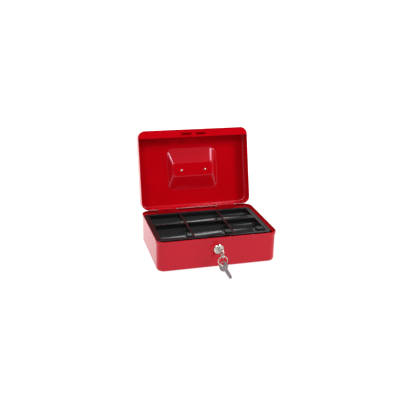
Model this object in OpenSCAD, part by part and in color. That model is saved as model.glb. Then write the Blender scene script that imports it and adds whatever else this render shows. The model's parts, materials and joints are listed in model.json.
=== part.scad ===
// Portable steel cash box with a lift-out coin tray, a cylinder lock, a slide latch and a folding handle.
// Origin: centre of the underside. +X to the right, +Y to the back, +Z up. Millimetres.
// The lid stands open on its stop, the latch is unlocked and a key is in the lock.

/* [Body] */
// Width over the rim
body_w = 250; // [245:1:300]
// Depth over the rim
body_d = 175; // [172:1:200]
// Height of the body without the lid
body_h = 65; // [64:1:90]
// Thickness of the sheet steel
sheet = 1; // [0.8:0.1:1.2]
// Plan radius of the rim's corners
corner_r = 17; // [14:1:24]
// Radius where the walls meet the base
base_r = 5.5; // [4:0.5:8]
// How far the rim stands out from the wall
rim_flare = 1.5; // [1.5:0.1:2]
// Height of the upright part of the rim
rim_h = 6.5; // [6:0.5:8]

/* [Lid] */
// Height of the lid above the body
lid_h = 25; // [24:1:40]
// How far the lid's edge reaches down inside the rim
lid_lip = 5.5; // [4:0.5:5.5]
// Radius where the lid's sides meet its top
lid_r = 6; // [4:0.5:8]
// How far the lid stands open, from closed
lid_open = 104.5; // [0:0.5:104.5]

/* [Handle] */
// Width of the recess in the lid
recess_w = 112; // [104:1:130]
// Depth of the recess, front to back
recess_d = 90; // [86:1:110]
// How far the recess is pressed into the lid
recess_h = 12; // [11:0.5:13]
// Diameter of the handle's wire
wire_d = 5; // [4:0.5:5]
// Distance between the two handle posts
post_gap = 54; // [50:1:60]
// Angle of the hanging handle from the lid's face
handle_hang = 14.5; // [10:0.5:90]

/* [Hinges] */
// Length of each hinge
hinge_len = 42; // [30:1:50]
// Distance of each hinge's middle from the centre
hinge_x = 67; // [50:1:75]
// Outer diameter of the hinge barrel
barrel_d = 5.5; // [5:0.1:5.5]
// Diameter of the hinge pin
pin_d = 3; // [2.5:0.1:3]

/* [Lock] */
// Height of the lock's axis above the base
lock_z = 39.5; // [36:0.5:42]
// Diameter of the lock's face
lock_face_d = 20; // [18:0.5:22]
// Diameter of the lock's barrel
lock_barrel_d = 15; // [14.5:0.5:16]
// Diameter of the turning plug
plug_d = 10; // [10:0.5:11]
// Travel of the latch between unlocked and locked
latch_travel = 8; // [7:0.5:8]

/* [Coin tray] */
// Height of the tray's rim above the base
tray_z = 59; // [58:0.5:59]
// Wall thickness of the tray
tray_t = 1.5; // [1.2:0.1:2]
// Depth of the front row of coin cells, front to back
front_row_d = 75; // [70:1:80]
// Depth of the back row of coin cells, front to back
back_row_d = 54; // [50:1:56]

/* [Keys] */
// Diameter of a key's head
key_head_d = 20; // [18:1:24]
// Thickness of a key
key_t = 2; // [1.6:0.1:2]
// Outer diameter of the split ring
ring_d = 20; // [18:1:24]

/* [Hidden] */
$fn = 64;

red = [0.72, 0.03, 0.08];
nickel = [0.75, 0.75, 0.72];
zinc = [0.62, 0.63, 0.62];
black = [0.06, 0.06, 0.07];
dark_steel = [0.16, 0.15, 0.16];

// Clearances
cut = 0.5;          // how far a cutting shape runs past the face it cuts
gap = 0.3;          // between pieces that pass each other
run_fit = 0.05;     // radial, shaft in bore

// Walls: distances from the centre to the faces of the body's walls
wall_r = corner_r - rim_flare;
wall_x = body_w / 2 - rim_flare;
wall_y = body_d / 2 - rim_flare;
inner_x = wall_x - sheet;
inner_y = wall_y - sheet;
flare_h = rim_flare;
flare_z = body_h - rim_h - flare_h;

// Lid, as it lies closed: it has the same plan as the walls, so it drops inside the rim
lid_top = body_h + lid_h;
lid_low = body_h - lid_lip;
recess_y = 2;
post_y = recess_y + 2;
recess_corner = 14;
floor_w = recess_w - 22;
floor_d = recess_d - 60;
floor_corner = 7;
floor_z = lid_top - recess_h;

// Hinges: the barrel is curled from leaves that lie flat on the insides of the back walls
pin_r = pin_d / 2;
bore_r = pin_r + run_fit;
barrel_r = barrel_d / 2;
leaf_t = barrel_r - bore_r;
axis_y = inner_y - leaf_t + barrel_r;
axis_z = body_h + 0.5;
leaf_h = 18;
knuckle = hinge_len / 3;
notch = barrel_r + 0.65;     // room around the barrel
side_gap = 1.2;              // room beyond each end of the hinge

// Handle
wire_r = wire_d / 2;
handle_w = 84;
handle_reach = 30;
handle_bend = 8;
pivot_up = wire_r + 1;
pivot_z = floor_z + pivot_up;
post_w = 9;
post_d = 10;
post_h = 2 * pivot_up;
rivet_r = 2;
rivet_depth = 0.8;

// Lock, from the front to the back along Y
face_y = -wall_y - 3;
plug_end_y = -wall_y + 7;
cam_y = plug_end_y + 0.1;
cam_t = 1.5;
crank_r = latch_travel / 2 / sin(45);
crank_pin_r = 1.5;
keyway_h = 7.2;
washer_t = 0.6;
nut_t = 3;
wafer_t = 0.8;
wafer_pitch = 2;
wafer_count = 4;

// Latch: a plate that slides along X behind the lock, with two hooks that enter the lid's strike plate
latch_t = 1.5;
latch_y = -wall_y + 10;
latch_top = lid_low - 2.8;
hook_neck = 8;
slot_x = 5;
slot_len = 22;
slot_w = 5.5;
hook_z = lid_low + sheet + 0.5;
stud_x = 37;
stud_z = 52;
stud_r = 2;

// Tray
tray_w = 2 * inner_x - 2;
tray_front = -inner_y + 19;
tray_back = inner_y - 5.5;
tray_corner = 10;
tray_flange = 11;
divider = 4;
scoop_z = tray_z - 9;
cell_x = [-tray_w / 2 + tray_flange, -42, 42, tray_w / 2 - tray_flange];
front_row_y = tray_front + 6;
back_row_y = front_row_y + front_row_d + divider;
ledge_w = 9;

// Keys
key_r = key_head_d / 2;
key_neck = 11;
key_len = 9;
blade_h = 6.8;
key_hole_r = 4.2;
key_hole_at = key_r + 5.2;      // from the shoulder end of the head to the hole's middle
ring_w = 1.4;
ring_h = 2.2;
ring_r = ring_d / 2 - ring_w / 2;
ring_drop = key_hole_r - 1.5;
ring_y = face_y - key_neck - key_hole_at;
ring_z = lock_z - ring_drop - ring_r;
spare_pitch = 28.98;
spare_yaw = 18;
spare_roll = -28;
spare_slip = 1.6;

// ---- Shared shapes ----

// Rectangle with round corners, flat in XY
module round_rect(w, d, r) {
    square([w - 2 * r, d], center = true);
    square([w, d - 2 * r], center = true);
    for (x = [-1, 1], y = [-1, 1])
        translate([x * (w / 2 - r), y * (d / 2 - r)]) circle(r);
}

// Carries a wall section round a rectangle with round corners; x = 0 in the section is the corner's centre
module carry_round(w, d, r) {
    half = [w / 2 - r, d / 2 - r];
    for (side = [0:3]) {
        out = half[side % 2];
        along = half[(side + 1) % 2];
        rotate(90 * side) {
            translate([out, along, 0]) rotate([90, 0, 0]) linear_extrude(2 * along) children();
            translate([out, along, 0]) rotate_extrude(angle = 90) children();
        }
    }
}

// Quarter of a bent sheet of outer radius r, in the quadrant given by the signs of x and z
module bent_edge(r, x, z) {
    intersection() {
        difference() {
            circle(r);
            circle(r - sheet);
        }
        translate([x > 0 ? 0 : -r, z > 0 ? 0 : -r]) square(r);
    }
}

// Flat shape drawn in Y and Z, given a thickness t along X about x = 0
module plate_yz(t) {
    rotate([90, 0, 90]) linear_extrude(t, center = true) children();
}

// Flat shape drawn in X and Z, from y to y + t
module plate_xz(y, t) {
    translate([0, y + t, 0]) rotate([90, 0, 0]) linear_extrude(t) children();
}

// Round bar along Y from y to y + length
module bar_y(r, y, length) {
    translate([0, y, 0]) rotate([-90, 0, 0]) cylinder(r = r, h = length);
}

// Turns a piece drawn on the closed lid to where the open lid stands
module on_lid() {
    translate([0, axis_y, axis_z]) rotate([-lid_open, 0, 0])
        translate([0, -axis_y, -axis_z]) children();
}

module mirror_left(left) {
    mirror([left ? 1 : 0, 0, 0]) children();
}

// ---- Body ----

module body_section() {
    translate([wall_r - sheet, base_r]) square([sheet, flare_z - base_r]);
    translate([wall_r - base_r, base_r]) bent_edge(base_r, 1, -1);
    polygon([[wall_r - sheet, flare_z], [wall_r, flare_z],
        [corner_r, flare_z + flare_h], [corner_r - sheet, flare_z + flare_h]]);
    translate([corner_r - sheet, flare_z + flare_h]) square([sheet, rim_h - sheet / 2]);
    translate([corner_r - sheet / 2, body_h - sheet / 2]) circle(d = sheet);
}

module body_shell() {
    color(red) difference() {
        union() {
            carry_round(body_w, body_d, corner_r) body_section();
            linear_extrude(sheet)
                round_rect(2 * (wall_x - base_r), 2 * (wall_y - base_r), wall_r - base_r);
        }
        for (x = [-hinge_x, hinge_x])
            translate([x - hinge_len / 2 - side_gap, inner_y + sheet, axis_z - notch])
                cube([hinge_len + 2 * side_gap, rim_flare + cut, notch + cut]);
        translate([0, 0, lock_z]) bar_y(lock_barrel_d / 2 + run_fit, -wall_y - cut, sheet + 2 * cut);
    }
}

// Angle strip on a side wall that carries the tray's flange
module tray_bracket(left) {
    long = 110;
    high = 12;
    top = tray_z - tray_t - run_fit;
    color(red) mirror_left(left) translate([inner_x, 5, top]) {
        translate([-sheet, -long / 2, -high]) cube([sheet, long, high]);
        translate([-ledge_w, -long / 2, -sheet]) cube([ledge_w, long, sheet]);
    }
}

// ---- Hinges ----

// Curled part of a leaf, from x = from to x = to along the hinge
module knuckle_ring(from, to) {
    translate([(from + to) / 2, 0, 0]) plate_yz(to - from) difference() {
        circle(barrel_r);
        circle(bore_r);
    }
}

// Flat part of a leaf between two heights measured from the hinge's axis
module leaf_plate(from, to, low, high) {
    translate([from, -barrel_r, low]) cube([to - from, leaf_t, high - low]);
}

module hinge_frame(left) {
    mirror_left(left) translate([hinge_x - hinge_len / 2, axis_y, axis_z]) children();
}

module hinge_body_leaf(left) {
    color(red) hinge_frame(left) {
        leaf_plate(0, hinge_len, -leaf_h, -notch);
        for (x = [0, 2 * knuckle]) {
            leaf_plate(x + (x > 0 ? gap / 2 : 0), x + knuckle - (x > 0 ? 0 : gap / 2), -notch, 0);
            knuckle_ring(x + (x > 0 ? gap / 2 : 0), x + knuckle - (x > 0 ? 0 : gap / 2));
        }
    }
}

module hinge_lid_leaf(left) {
    color(red) on_lid() hinge_frame(left) {
        leaf_plate(0, hinge_len, notch, leaf_h);
        leaf_plate(knuckle + gap / 2, 2 * knuckle - gap / 2, 0, notch);
        knuckle_ring(knuckle + gap / 2, 2 * knuckle - gap / 2);
    }
}

module hinge_pin(left) {
    color(zinc) hinge_frame(left) {
        rotate([0, 90, 0]) cylinder(r = pin_r, h = hinge_len);
        for (x = [-0.6, hinge_len])
            translate([x, 0, 0]) rotate([0, 90, 0]) cylinder(r = pin_r + 0.6, h = 0.6);
    }
}

// ---- Lid ----

module lid_section() {
    translate([wall_r - sheet, lid_low + sheet / 2])
        square([sheet, lid_top - lid_r - lid_low - sheet / 2]);
    translate([wall_r - sheet / 2, lid_low + sheet / 2]) circle(d = sheet);
    translate([wall_r - lid_r, lid_top - lid_r]) bent_edge(lid_r, 1, 1);
}

// Space of the handle recess, grown outwards and downwards by t
module recess_space(t, above) {
    slab = 0.01;
    translate([0, recess_y, 0]) hull() {
        translate([0, 0, lid_top - slab])
            linear_extrude(slab + above)
                round_rect(recess_w + t, recess_d + t, recess_corner + t / 2, $fn = 32);
        translate([0, 0, floor_z - t])
            linear_extrude(slab)
                round_rect(floor_w + t, floor_d + t, floor_corner + t / 2, $fn = 32);
    }
}

module lid_shell() {
    color(red) on_lid() difference() {
        union() {
            carry_round(2 * wall_x, 2 * wall_y, wall_r) lid_section();
            translate([0, 0, lid_top - sheet]) linear_extrude(sheet)
                round_rect(2 * (wall_x - lid_r), 2 * (wall_y - lid_r), wall_r - lid_r);
            recess_space(sheet, 0);
        }
        recess_space(0, cut);
        for (x = [-hinge_x, hinge_x])
            translate([x - hinge_len / 2 - side_gap, inner_y - cut, lid_low - cut])
                cube([hinge_len + 2 * side_gap, sheet + 2 * cut, axis_z + notch - lid_low + cut]);
        for (x = [-post_gap / 2, post_gap / 2])
            translate([x, post_y, floor_z - sheet - cut])
                cylinder(r = rivet_r + run_fit, h = sheet + 2 * cut);
    }
}

// Flange across the front of the lid, with the two slots that the latch hooks enter
module strike_plate() {
    wide = 17;
    turned_up = 8;
    color(red) on_lid() difference() {
        union() {
            translate([0, 0, lid_low]) linear_extrude(sheet) intersection() {
                round_rect(2 * inner_x, 2 * inner_y, wall_r - sheet);
                translate([-inner_x, -inner_y]) square([2 * inner_x, wide - sheet]);
            }
            translate([-inner_x + wall_r, -inner_y, lid_low])
                cube([2 * (inner_x - wall_r), sheet, turned_up]);
        }
        for (x = [-slot_x - slot_len, slot_x])
            translate([x, latch_y - slot_w / 2, lid_low - cut]) cube([slot_len, slot_w, sheet + 2 * cut]);
    }
}

// ---- Handle ----

module handle_post(left) {
    color(nickel) on_lid() mirror_left(left) translate([post_gap / 2, post_y, floor_z])
        difference() {
            union() {
                translate([-post_w / 2, -post_d / 2, 0]) cube([post_w, post_d, pivot_up]);
                translate([0, 0, pivot_up]) rotate([0, 90, 0])
                    cylinder(d = post_d, h = post_w, center = true);
            }
            translate([0, 0, pivot_up]) rotate([0, 90, 0])
                cylinder(r = wire_r + run_fit, h = post_w + 2 * cut, center = true);
            translate([0, 0, -post_h / 2]) cube([2 * post_w, 2 * post_d, post_h], center = true);
            cylinder(r = rivet_r, h = rivet_depth);
        }
}

module handle_rivets() {
    head_r = 3;
    color(nickel) on_lid() for (x = [-post_gap / 2, post_gap / 2])
        translate([x, post_y, floor_z]) {
            translate([0, 0, -sheet]) cylinder(r = rivet_r, h = sheet + rivet_depth);
            intersection() {
                translate([0, 0, -sheet - 1.4]) cylinder(r = head_r, h = 1.4);
                translate([0, 0, -sheet + head_r * 1.05]) sphere(head_r * 1.4);
            }
        }
}

// Straight piece of the handle's wire from the origin along +X
module wire_run(length) {
    rotate([0, 90, 0]) cylinder(r = wire_r, h = length);
}

module wire_bend() {
    rotate_extrude(angle = 90) translate([handle_bend, 0]) circle(wire_r);
}

// Half of the handle, drawn flat in XY with the pivot along X and the grip at y = handle_reach
module bail_half() {
    side = handle_w / 2;
    inner_end = post_gap / 2 - post_w / 2 - 3;
    translate([inner_end, 0, 0]) wire_run(side - handle_bend - inner_end);
    translate([side - handle_bend, handle_bend, 0]) rotate(-90) wire_bend();
    translate([side, handle_bend, 0]) rotate(90) wire_run(handle_reach - 2 * handle_bend);
    translate([side - handle_bend, handle_reach - handle_bend, 0]) wire_bend();
    translate([0, handle_reach, 0]) wire_run(side - handle_bend);
}

module handle_bail() {
    color(nickel) on_lid() translate([0, post_y, pivot_z]) rotate([handle_hang, 0, 0]) {
        bail_half();
        mirror([1, 0, 0]) bail_half();
    }
}

// ---- Lock ----

module at_lock() {
    translate([0, 0, lock_z]) children();
}

module lock_housing() {
    bevel = 1.2;
    color(nickel) at_lock() difference() {
        union() {
            bar_y(lock_barrel_d / 2, -wall_y, plug_end_y + wall_y);
            bar_y(lock_face_d / 2, face_y + bevel, -wall_y - face_y - bevel);
            translate([0, face_y, 0]) rotate([-90, 0, 0])
                cylinder(r1 = lock_face_d / 2 - bevel, r2 = lock_face_d / 2, h = bevel);
        }
        bar_y(plug_d / 2 + run_fit, face_y - cut, plug_end_y - face_y + 2 * cut);
    }
}

module lock_washer() {
    color(zinc) at_lock() difference() {
        bar_y(lock_barrel_d / 2 + 3.5, -inner_y, washer_t);
        bar_y(lock_barrel_d / 2 + run_fit, -inner_y - cut, washer_t + 2 * cut);
    }
}

module lock_nut() {
    color(zinc) at_lock() difference() {
        translate([0, -inner_y + washer_t, 0]) rotate([-90, 30, 0])
            cylinder(r = lock_barrel_d / 2 + 3.5, h = nut_t, $fn = 6);
        bar_y(lock_barrel_d / 2 + run_fit, -inner_y, washer_t + nut_t + cut);
    }
}

function wafer_y(i) = face_y + 2.2 + wafer_pitch * i;

module lock_plug() {
    color(nickel) at_lock() difference() {
        bar_y(plug_d / 2, face_y, plug_end_y - face_y);
        translate([-key_t / 2 - 0.15, face_y - cut, -keyway_h / 2])
            cube([key_t + 0.3, key_len + 1 + cut, keyway_h]);
        for (i = [0:wafer_count - 1])
            translate([-2.8, wafer_y(i) - 0.1, -plug_d / 2])
                cube([6.7, wafer_t + 0.2, plug_d]);
        bar_y(1.1, plug_end_y - 1, 1 + cut);
    }
}

// Thin plates with a window for the key, held level with the plug's surface while the key is in
module plug_wafers() {
    wide = 5.2;
    high = 8.4;
    color("gold") at_lock() for (i = [0:wafer_count - 1])
        plate_xz(wafer_y(i), wafer_t) difference() {
            square([wide, high], center = true);
            square([key_t + 0.4, keyway_h - 0.1], center = true);
        }
}

// Closed tube of four sides round a helix that climbs along Z
module coil(r, wire, height, turns) {
    steps = 8;
    sides = 4;
    n = steps * turns;
    points = [for (i = [0:n], s = [0:sides - 1])
        let (turn = 360 * i / steps, out = r + wire * cos(360 * s / sides))
        [out * cos(turn), out * sin(turn), height * i / n + wire * sin(360 * s / sides)]];
    skin = [for (i = [0:n - 1], s = [0:sides - 1])
        let (a = i * sides + s, b = i * sides + (s + 1) % sides) [a, b, b + sides, a + sides]];
    polyhedron(points, concat([for (f = skin) [f[3], f[2], f[1], f[0]]],
        [[for (s = [sides - 1:-1:0]) s]], [[for (s = [0:sides - 1]) n * sides + s]]));
}

// One small coil spring beside each wafer
module wafer_springs() {
    color(zinc) at_lock() for (i = [0:wafer_count - 1])
        translate([3.3, wafer_y(i) + wafer_t / 2, -2.6]) coil(0.28, 0.1, 4, 5);
}

module lock_cam() {
    color(zinc) at_lock() {
        difference() {
            bar_y(crank_r + crank_pin_r + 1, cam_y, cam_t);
            bar_y(1.2, cam_y - cut, cam_t + 2 * cut);
        }
        rotate([0, -45, 0]) translate([0, 0, crank_r])
            bar_y(crank_pin_r, cam_y + cam_t, latch_y + latch_t / 2 + 1 - cam_y - cam_t);
    }
}

module cam_screw() {
    color(zinc) at_lock() {
        bar_y(1.05, plug_end_y - 0.9, cam_y + cam_t - plug_end_y + 0.9);
        difference() {
            bar_y(2.2, cam_y + cam_t, 1.1);
            translate([-0.35, cam_y + cam_t + 0.5, -3]) cube([0.7, 1, 6]);
        }
    }
}

// ---- Latch ----

// Two shouldered studs on the front wall that the latch slides on
module latch_studs() {
    shoulder_r = 3.5;
    head_r = 4;
    front = latch_y - latch_t / 2 - 0.25;
    back = latch_y + latch_t / 2 + 0.25;
    color(zinc) for (x = [-stud_x, stud_x]) translate([x, 0, stud_z]) {
        bar_y(shoulder_r, -inner_y, front + inner_y);
        bar_y(stud_r, front, back - front);
        bar_y(head_r, back, 1.2);
    }
}

// Hook with its head towards +X; x = 0 is the left side of the neck
module hook_outline() {
    head = hook_neck + latch_travel;
    translate([0, latch_top - cut]) square([hook_neck, hook_z + 1 - latch_top + cut]);
    polygon([[0, hook_z], [head, hook_z], [head, hook_z + 2.4], [head - 2.2, hook_z + 4], [0, hook_z + 4]]);
}

module latch_slide() {
    low = lock_z + 2.8;
    side = stud_x + 8;
    first_hook = slot_x + slot_len - cut - hook_neck - latch_travel;
    color(dark_steel) plate_xz(latch_y - latch_t / 2, latch_t) difference() {
        union() {
            translate([-side - latch_travel / 2, stud_z - 5.5])
                square([2 * side, latch_top - stud_z + 5.5]);
            translate([-latch_travel / 2 - 6, low]) square([12, latch_top - low]);
            translate([first_hook, 0]) hook_outline();
            translate([first_hook - 2 * slot_x - slot_len, 0]) hook_outline();
        }
        for (x = [-stud_x, stud_x]) translate([x - latch_travel, stud_z]) {
            circle(stud_r + 0.2);
            translate([0, -stud_r - 0.2]) square([latch_travel, 2 * stud_r + 0.4]);
            translate([latch_travel, 0]) circle(stud_r + 0.2);
        }
        translate([-latch_travel / 2 - crank_pin_r - gap, low - cut])
            square([2 * (crank_pin_r + gap), 5.2 + cut]);
    }
}

// ---- Coin tray ----

// Section of one row of cells: upright back and front above a round scoop, grown by t
module scoop_outline(y, d, t) {
    drop = d / 4;
    r = (d * d / 4 + drop * drop) / (2 * drop);
    translate([y - t, scoop_z]) square([d + 2 * t, tray_z - scoop_z + (t > 0 ? 0 : cut)]);
    intersection() {
        translate([y + d / 2, scoop_z - drop + r]) circle(r + t, $fn = 180);
        translate([y - t, 0]) square([d + 2 * t, scoop_z + (t > 0 ? 0 : 0.01)]);
    }
}

module cell(column, y, d, t) {
    x0 = cell_x[column] + (column > 0 ? divider / 2 : 0) - t;
    x1 = cell_x[column + 1] - (column < 2 ? divider / 2 : 0) + t;
    translate([(x0 + x1) / 2, 0, 0]) plate_yz(x1 - x0) scoop_outline(y, d, t);
}

module each_cell(t) {
    for (column = [0:2]) {
        cell(column, front_row_y, front_row_d, t);
        cell(column, back_row_y, back_row_d, t);
    }
}

module coin_tray() {
    color(black) difference() {
        union() {
            translate([0, (tray_front + tray_back) / 2, tray_z - tray_t]) linear_extrude(tray_t)
                round_rect(tray_w, tray_back - tray_front, tray_corner);
            each_cell(tray_t);
        }
        each_cell(0);
    }
}

// ---- Keys ----

// Key lying along Y in the plane x = 0: its shoulder is at the origin, the blade points to +Y
module key_outline() {
    translate([-key_neck - key_r, 0]) difference() {
        circle(key_r);
        translate([key_r - key_hole_at, 0]) circle(key_hole_r);
    }
    translate([-key_neck - 3, -blade_h / 2]) square([key_neck + 3, blade_h]);
    difference() {
        translate([-1, -blade_h / 2]) square([key_len + 1, blade_h]);
        for (i = [0:wafer_count - 1])
            translate([2.6 + wafer_pitch * i, blade_h / 2 + 0.4])
                rotate(45) square(1.2 + 0.3 * (i % 3), center = true);
        for (side = [-1, 1])
            translate([key_len, side * blade_h / 2]) rotate(45) square(3.4, center = true);
    }
}

module key_blank() {
    plate_yz(key_t) key_outline();
}

module key() {
    color(nickel) translate([0, face_y, lock_z]) key_blank();
}

// Split ring through the head of the key in the lock
module key_ring() {
    color(nickel) translate([0, ring_y, ring_z]) rotate([90, 0, 0])
        rotate_extrude($fn = 96) translate([ring_r, 0]) square([ring_w, ring_h], center = true);
}

// Second key on the ring: its tip rests on whatever the box stands on
module spare_key() {
    color(nickel) translate([0, ring_y, ring_z - ring_r]) rotate([0, 0, spare_yaw + 180])
        rotate([-spare_pitch, 0, 0]) rotate([0, spare_roll, 0])
            translate([0, key_neck + key_hole_at - spare_slip, 0]) key_blank();
}

body_shell();
tray_bracket(true);  // tray_bracket_left
tray_bracket(false);  // tray_bracket_right
hinge_body_leaf(true);  // hinge_body_leaf_left
hinge_body_leaf(false);  // hinge_body_leaf_right
hinge_pin(true);  // hinge_pin_left
hinge_pin(false);  // hinge_pin_right
hinge_lid_leaf(true);  // hinge_lid_leaf_left
hinge_lid_leaf(false);  // hinge_lid_leaf_right
lid_shell();
strike_plate();
handle_post(true);  // handle_post_left
handle_post(false);  // handle_post_right
handle_rivets();
handle_bail();
lock_housing();
lock_washer();
lock_nut();
lock_plug();
plug_wafers();
wafer_springs();
lock_cam();
cam_screw();
latch_studs();
latch_slide();
coin_tray();
key();
key_ring();
spare_key();
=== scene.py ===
"""Looks of a portable steel cash box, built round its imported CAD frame.

Metres, with +X to the right, +Y to the back and +Z up. The lid's pieces are drawn as it lies closed
and then turned to where the open lid stands.
"""

import json
import math

import bmesh
import bpy
from mathutils import Matrix, Vector
from mathutils.geometry import tessellate_polygon


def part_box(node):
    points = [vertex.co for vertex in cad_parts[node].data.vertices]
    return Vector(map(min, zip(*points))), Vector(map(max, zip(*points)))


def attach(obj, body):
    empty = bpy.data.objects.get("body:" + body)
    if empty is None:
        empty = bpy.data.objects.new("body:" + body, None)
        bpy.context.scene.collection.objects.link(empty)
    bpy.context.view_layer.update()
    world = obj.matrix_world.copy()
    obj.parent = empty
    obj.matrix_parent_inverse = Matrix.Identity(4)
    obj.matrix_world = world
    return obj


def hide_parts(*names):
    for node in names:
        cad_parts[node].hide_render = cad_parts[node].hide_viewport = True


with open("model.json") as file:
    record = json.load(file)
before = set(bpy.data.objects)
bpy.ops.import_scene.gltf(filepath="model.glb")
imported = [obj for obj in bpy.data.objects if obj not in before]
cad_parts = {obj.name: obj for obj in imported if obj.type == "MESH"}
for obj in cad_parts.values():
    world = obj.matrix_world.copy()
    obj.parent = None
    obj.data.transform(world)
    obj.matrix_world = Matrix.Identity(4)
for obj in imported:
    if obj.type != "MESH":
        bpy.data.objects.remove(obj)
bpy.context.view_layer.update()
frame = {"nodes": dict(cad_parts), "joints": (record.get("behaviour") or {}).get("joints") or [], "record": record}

MM = 0.001

# ---- Sizes, from the frame where it has them ----

joints = {joint["name"]: joint for joint in frame["joints"]}
LID_AXIS = Vector(joints["lid_hinge"]["pos_m"])
LID_OPEN = math.radians(joints["lid_hinge"]["range_deg"][1])
TO_LID_AXIS = Matrix.Translation(LID_AXIS)
OPEN_LID = TO_LID_AXIS @ Matrix.Rotation(-LID_OPEN, 4, "X") @ TO_LID_AXIS.inverted()

SHEET = 1 * MM
RIM_FLARE = 1.5 * MM
RIM_HEIGHT = 6.5 * MM
RIM_CORNER = 17 * MM
RIM_FOLDS = (1.2 * MM, 1.6 * MM)
RIM_FOLDS_INSIDE = (0.8 * MM, 1.6 * MM)
BASE_RADIUS = 5.5 * MM
FLAT_EDGE = 1 * MM
CUT_EDGE = SHEET / 2 - 0.01 * MM
LID_HEIGHT = 25 * MM
LID_LIP = 5.5 * MM
LID_RADIUS = 6 * MM
HINGE_ROOM = 0.5 * MM

BODY_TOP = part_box("body_shell")[1]
WALL_X = BODY_TOP.x - RIM_FLARE
WALL_Y = BODY_TOP.y - RIM_FLARE
WALL_CORNER = RIM_CORNER - RIM_FLARE
LID_TOP = BODY_TOP.z + LID_HEIGHT
LID_LOW = BODY_TOP.z - LID_LIP
BARREL_ROOM = 3.2 * MM

hinge_low, hinge_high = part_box("hinge_body_leaf_right")
NOTCH = (hinge_low.x - HINGE_ROOM, hinge_high.x + HINGE_ROOM)

ARC_STEPS = 10
BEND_STEPS = 7
SHARP_ANGLE = math.radians(35)

# ---- Mesh helpers ----


def rounded_path(corners, steps=BEND_STEPS):
    """Flat path through (a, b, radius) corners, each rounded by an arc of its radius."""
    path = []
    for i, (a, b, radius) in enumerate(corners):
        here = Vector((a, b))
        if radius == 0 or i in (0, len(corners) - 1):
            path.append(here)
            continue
        before = (Vector(corners[i - 1][:2]) - here).normalized()
        after = (Vector(corners[i + 1][:2]) - here).normalized()
        half = before.angle(after) / 2
        centre = here + (before + after).normalized() * radius / math.sin(half)
        first = here + before * radius / math.tan(half) - centre
        last = here + after * radius / math.tan(half) - centre
        sweep = first.angle(last)
        for k in range(steps + 1):
            t = k / steps
            spoke = first * math.sin((1 - t) * sweep) + last * math.sin(t * sweep)
            path.append(centre + spoke / math.sin(sweep))
    return path


def ring(half_x, half_y, radius, z_side, z_end=None, centre_y=0.0, stops=((0.0,), (0.0,)), arc=ARC_STEPS):
    """Rounded rectangle, anticlockwise from the middle of its front left corner.

    z_side is the height along the front and back and z_end that of the left and right.
    stops are the points along the front or back, and along the left or right, as shares from -1 to 1.
    """
    z_end = z_side if z_end is None else z_end
    straight = Vector((half_x - radius, half_y - radius))
    quarter = math.pi / 2
    points = []
    for side in range(4):
        turn = (side - 1) * quarter
        along = stops[side % 2]
        shares = [-1.0, *along, 1.0]
        arc_before = [(-1.0, -quarter / 2 + quarter / 2 * k / (arc // 2)) for k in range(arc // 2)]
        arc_after = [(1.0, quarter / 2 * k / (arc // 2)) for k in range(1, arc // 2)]
        for share, angle in arc_before + [(s, 0.0) for s in shares] + arc_after:
            heading = turn + angle
            out = Vector((math.cos(heading), math.sin(heading))) * radius
            if side == 0:
                base = Vector((share * straight.x, -straight.y))
            elif side == 1:
                base = Vector((straight.x, share * straight.y))
            elif side == 2:
                base = Vector((-share * straight.x, straight.y))
            else:
                base = Vector((-straight.x, -share * straight.y))
            endwise = math.cos(heading) ** 2
            flat = base + out
            points.append(Vector((flat.x, flat.y + centre_y, z_side + (z_end - z_side) * endwise)))
    return points


def loft(bm, rings, gaps=()):
    """Quads between rings of equal counts.

    A gap is (first ring, last ring, first point, last point) and is left open.
    """
    rows = [[bm.verts.new(p) for p in points] for points in rings]
    count = len(rows[0])
    for i in range(len(rows) - 1):
        for j in range(count):
            if any(i0 <= i < i1 and j0 <= j < j1 for i0, i1, j0, j1 in gaps):
                continue
            k = (j + 1) % count
            bm.faces.new((rows[i][j], rows[i][k], rows[i + 1][k], rows[i + 1][j]))
    return rows


def close_gap(bm, rows, gap):
    """Cut faces of the sheet round a gap left by loft."""
    i0, i1, j0, j1 = gap
    for j in range(j0, j1):
        bm.faces.new((rows[i0][j], rows[i0][j + 1], rows[i1][j + 1], rows[i1][j]))
    for j in (j0, j1):
        bm.faces.new([rows[i][j] for i in range(i0, i1 + 1)])


def lathe(bm, profile, segments=96):
    """Solid of revolution about the Y axis from a closed profile of (y, radius)."""
    rows = []
    for k in range(segments):
        turn = 2 * math.pi * k / segments
        rows.append([bm.verts.new((r * math.cos(turn), y, r * math.sin(turn))) for y, r in profile])
    for k in range(segments):
        here, there = rows[k], rows[(k + 1) % segments]
        for i in range(len(profile)):
            m = (i + 1) % len(profile)
            bm.faces.new((here[i], here[m], there[m], there[i]))


def wire_section(width, height, points, fullness):
    """Section of wire: an oval at a fullness of 1, which fills out its corners as fullness falls."""
    section = []
    for k in range(points):
        turn = 2 * math.pi * k / points
        across, up = math.cos(turn), math.sin(turn)
        section.append((
            width / 2 * math.copysign(abs(across) ** fullness, across),
            height / 2 * math.copysign(abs(up) ** fullness, up),
        ))
    return section


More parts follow.
